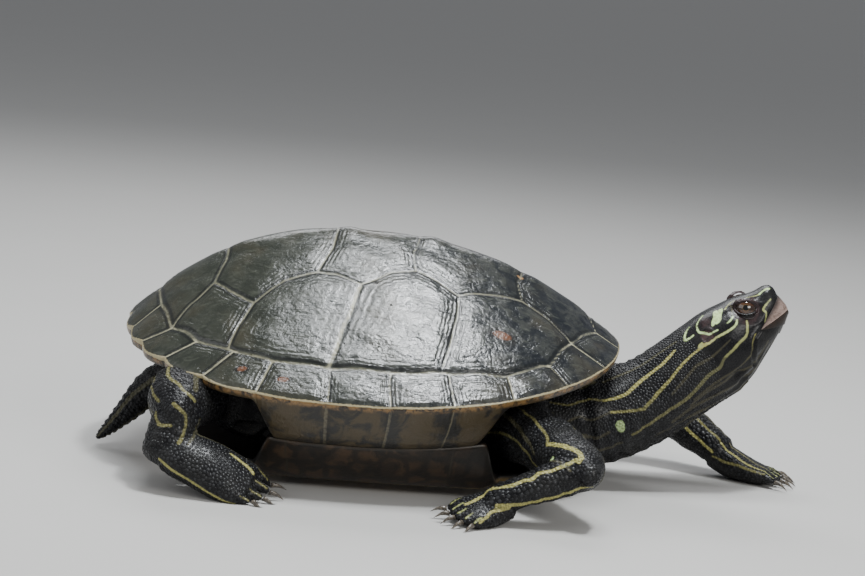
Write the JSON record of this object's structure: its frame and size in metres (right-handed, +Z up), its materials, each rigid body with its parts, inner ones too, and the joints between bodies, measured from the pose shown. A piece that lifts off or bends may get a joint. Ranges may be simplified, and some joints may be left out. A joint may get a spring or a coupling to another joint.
{
  "type": "map turtle",
  "caption": "Life-size still model of a female map turtle standing with its head raised, domed shell, webbed feet and clawed toes.",
  "frame": {"origin": "middle of the animal's box, on the floor it stands on", "axes": "+X towards the head, +Y the animal's left, +Z up"},
  "size_m": [0.2962, 0.219, 0.0967],
  "materials": {
    "shell": "glossy",
    "under_shell": "satin",
    "skin": "satin",
    "beak": "satin",
    "claw": "satin",
    "eye": "glossy"
  },
  "bodies": {
    "root": {"carapace": "shell", "plastron": "under_shell", "trunk": "skin", "neck": "skin", "head": "skin", "lower_jaw": "skin", "tail": "skin", "upper_beak": "beak", "lower_beak": "beak", "right_eye": "eye", "right_upper_arm": "skin", "right_forearm": "skin", "right_hand": "skin", "right_thigh": "skin", "right_shank": "skin", "right_foot": "skin", "left_eye": "eye", "left_upper_arm": "skin", "left_forearm": "skin", "left_hand": "skin", "left_thigh": "skin", "left_shank": "skin", "left_foot": "skin", "right_hand_claw_1": "claw", "right_hand_claw_2": "claw", "right_hand_claw_3": "claw", "right_hand_claw_4": "claw", "right_hand_claw_5": "claw", "left_hand_claw_1": "claw", "left_hand_claw_2": "claw", "left_hand_claw_3": "claw", "left_hand_claw_4": "claw", "left_hand_claw_5": "claw", "right_foot_claw_1": "claw", "right_foot_claw_2": "claw", "right_foot_claw_3": "claw", "right_foot_claw_4": "claw", "left_foot_claw_1": "claw", "left_foot_claw_2": "claw", "left_foot_claw_3": "claw", "left_foot_claw_4": "claw"}
  },
  "joints": []
}
